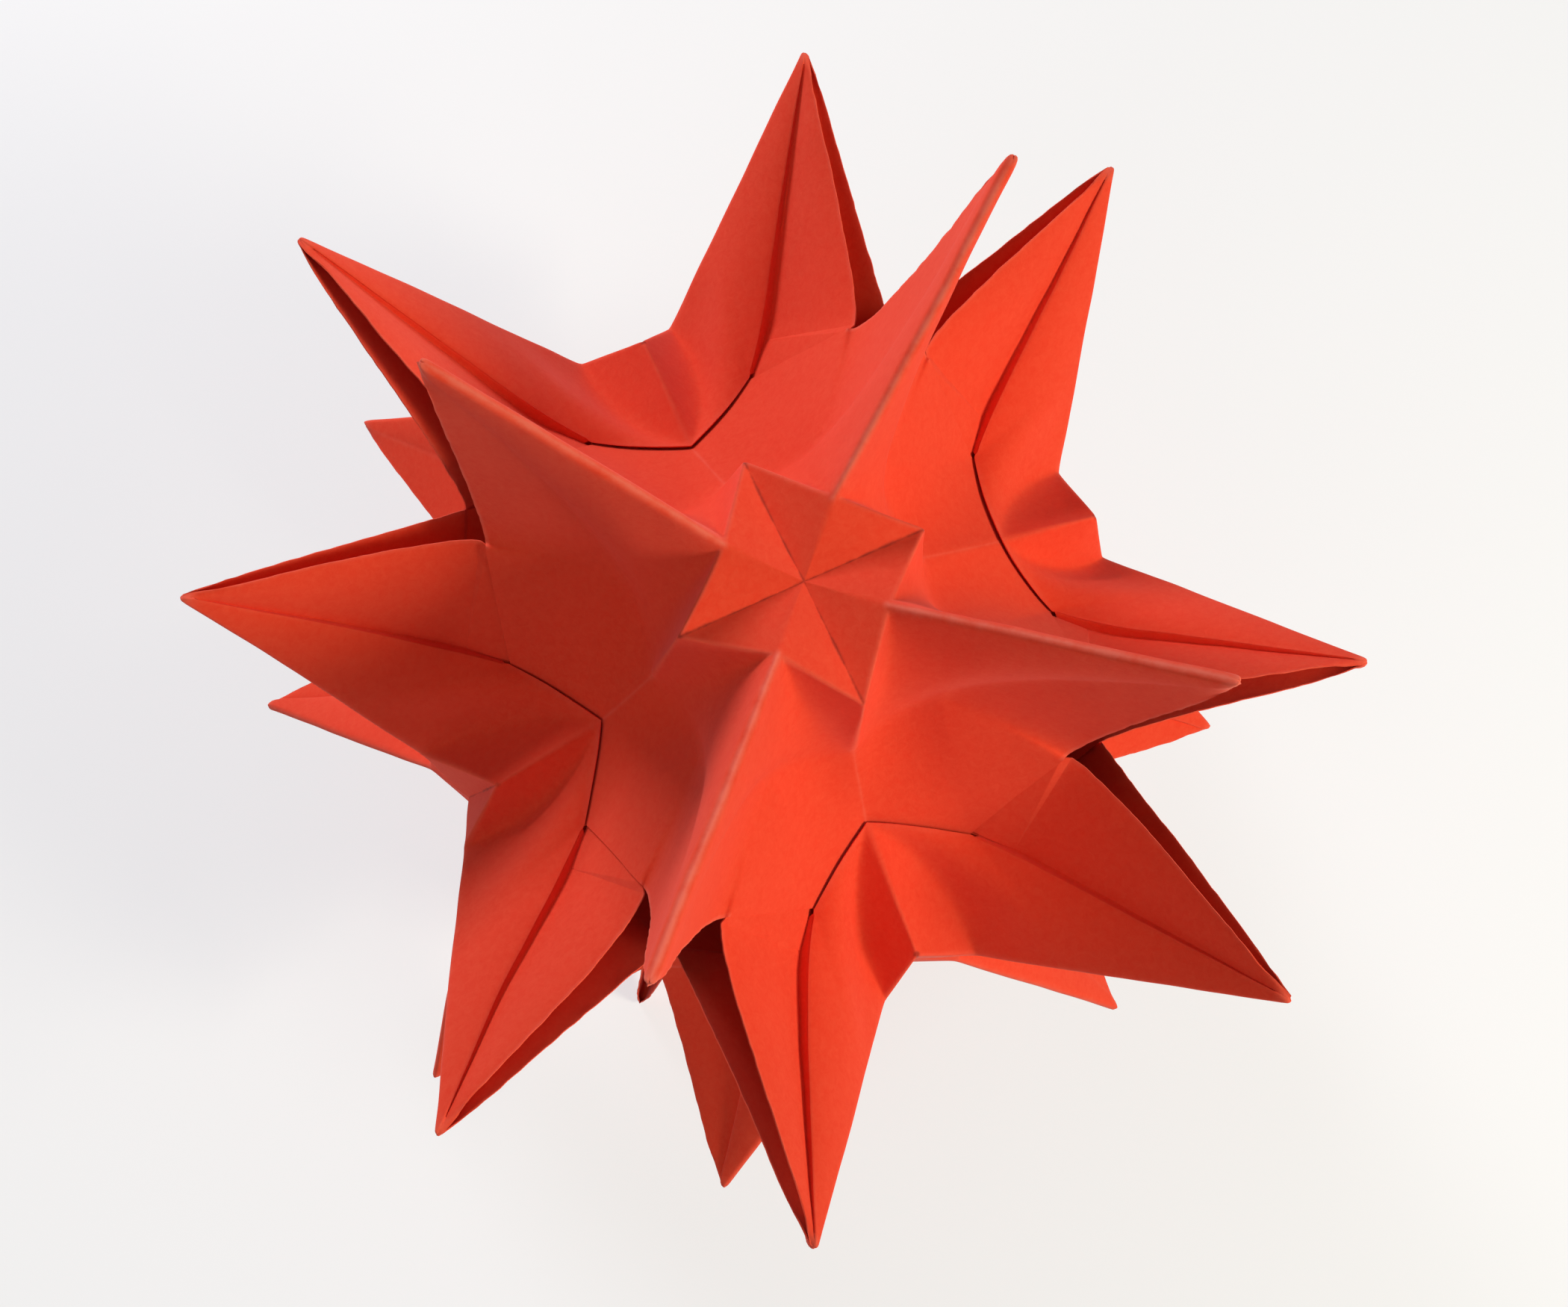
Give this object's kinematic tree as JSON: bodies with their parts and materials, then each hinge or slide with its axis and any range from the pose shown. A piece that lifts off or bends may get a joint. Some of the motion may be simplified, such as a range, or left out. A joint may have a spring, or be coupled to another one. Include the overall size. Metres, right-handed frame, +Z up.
{
  "type": "modular paper star ball",
  "caption": "Hand-folded kusudama of red paper: square sheets locked into a hollow star ball with long open spikes and raised star caps.",
  "frame": {"origin": "on the surface the ball stands on, under the middle of its box", "axes": "+Z up through the top sheet's star; +X towards the right sheet, +Y towards the back sheet"},
  "size_m": [0.157, 0.159, 0.156],
  "materials": {
    "red_paper": "matte"
  },
  "bodies": {
    "root": {"top_sheet": "red_paper", "bottom_sheet": "red_paper", "right_sheet": "red_paper", "left_sheet": "red_paper", "back_sheet": "red_paper", "front_sheet": "red_paper"}
  },
  "joints": []
}
